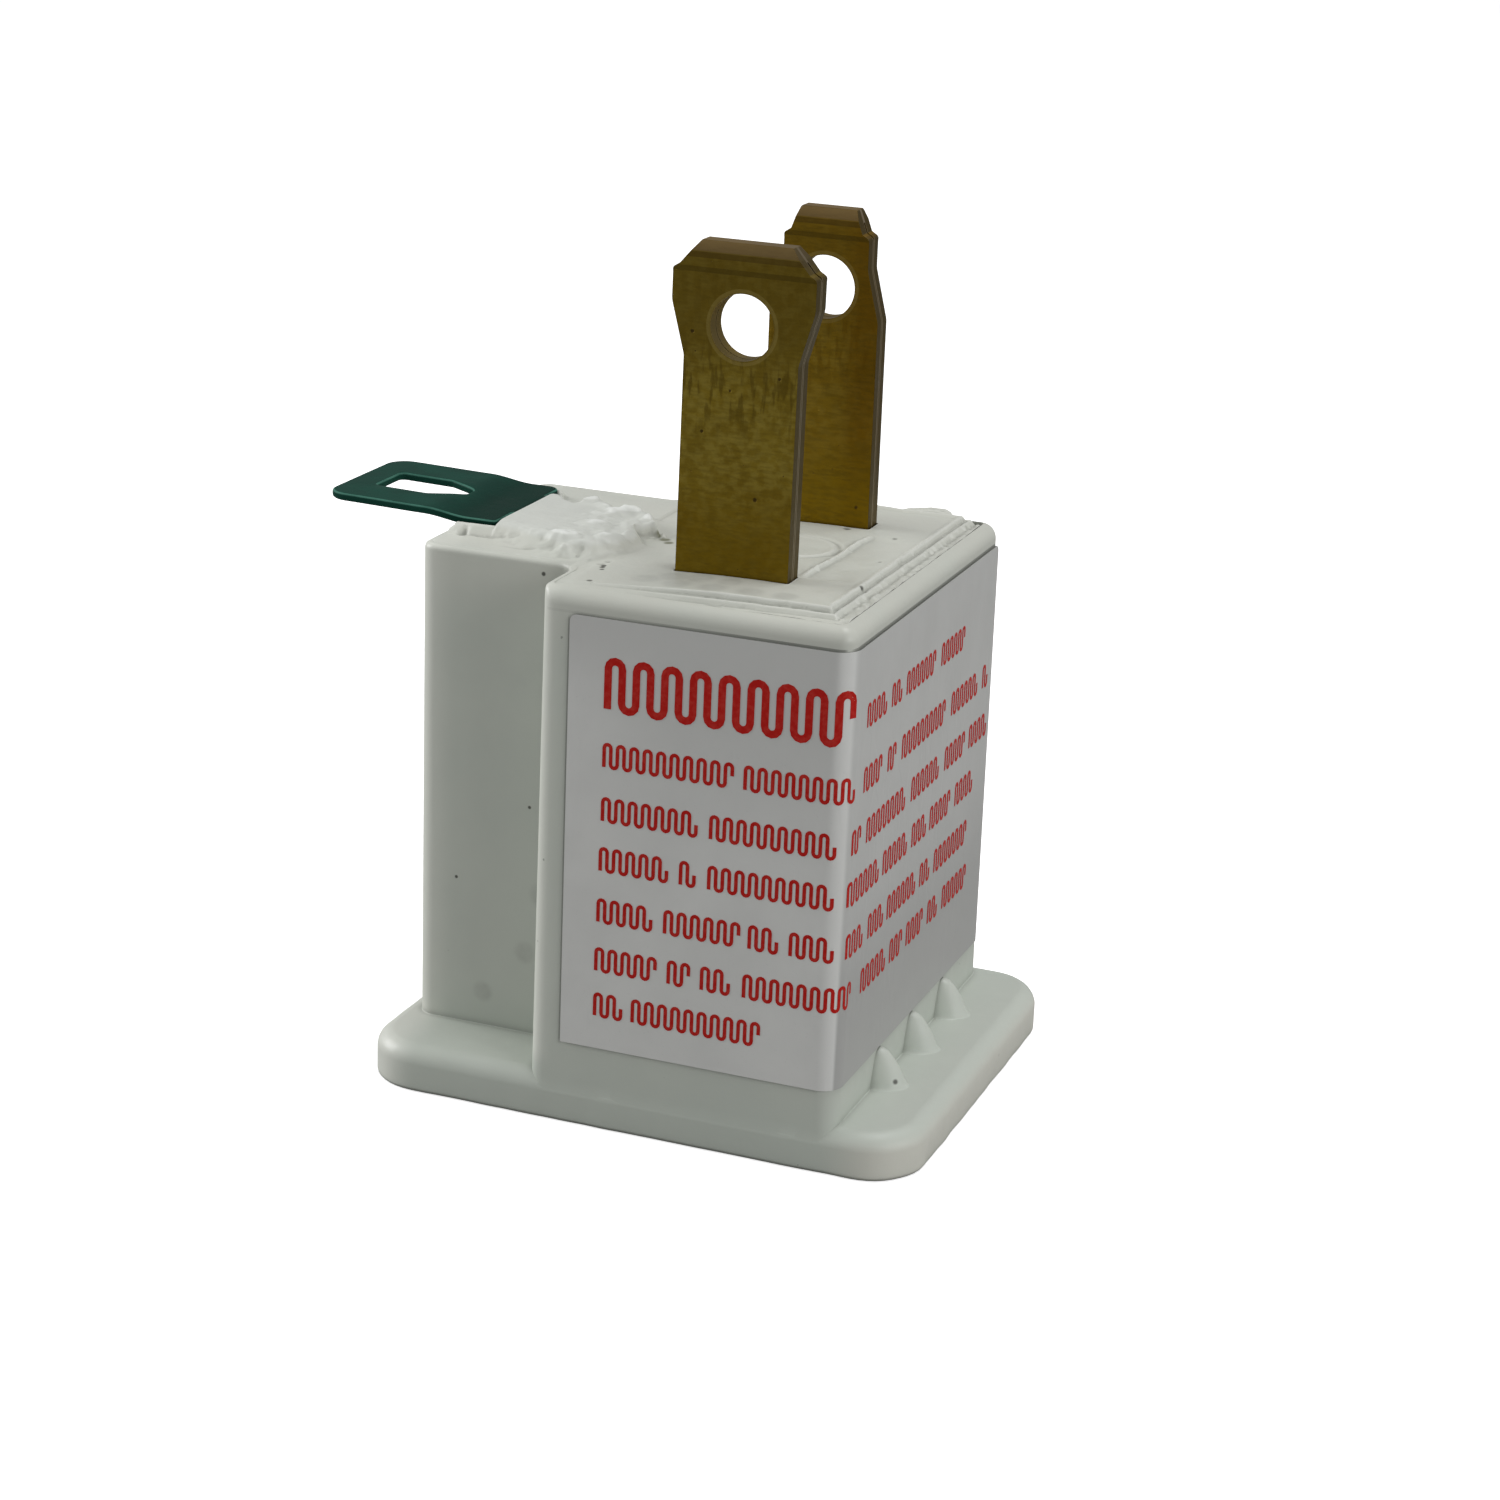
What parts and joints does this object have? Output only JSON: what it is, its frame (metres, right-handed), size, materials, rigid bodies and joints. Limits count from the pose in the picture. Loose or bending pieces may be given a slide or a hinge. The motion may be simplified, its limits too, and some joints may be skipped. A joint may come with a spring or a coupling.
{
  "type": "grounding plug adapter",
  "caption": "Three-hole receptacle body on a flange, with two flat folded blades and a slotted ground tab on its back, for use in a two-slot outlet.",
  "frame": {"origin": "on the receptacle face, midway between the two blades", "axes": "+X along the face away from the ground hole and tab, +Y from the wide blade towards the narrow blade, +Z out along the blades"},
  "size_m": [0.0387, 0.0263, 0.048],
  "materials": {
    "white_plastic": "satin",
    "cover_plastic": "satin",
    "tarnished_brass": "tarnished",
    "contact_brass": "plain",
    "green_lacquer": "glossy",
    "rivet_steel": "plain",
    "silver_film": "satin film"
  },
  "bodies": {
    "root": {"housing": "white_plastic", "cover": "cover_plastic", "neutral_blade": "tarnished_brass", "line_blade": "tarnished_brass", "ground_contact": "contact_brass", "ground_tab": "green_lacquer", "ground_rivet": "rivet_steel", "label": "silver_film"}
  },
  "joints": []
}
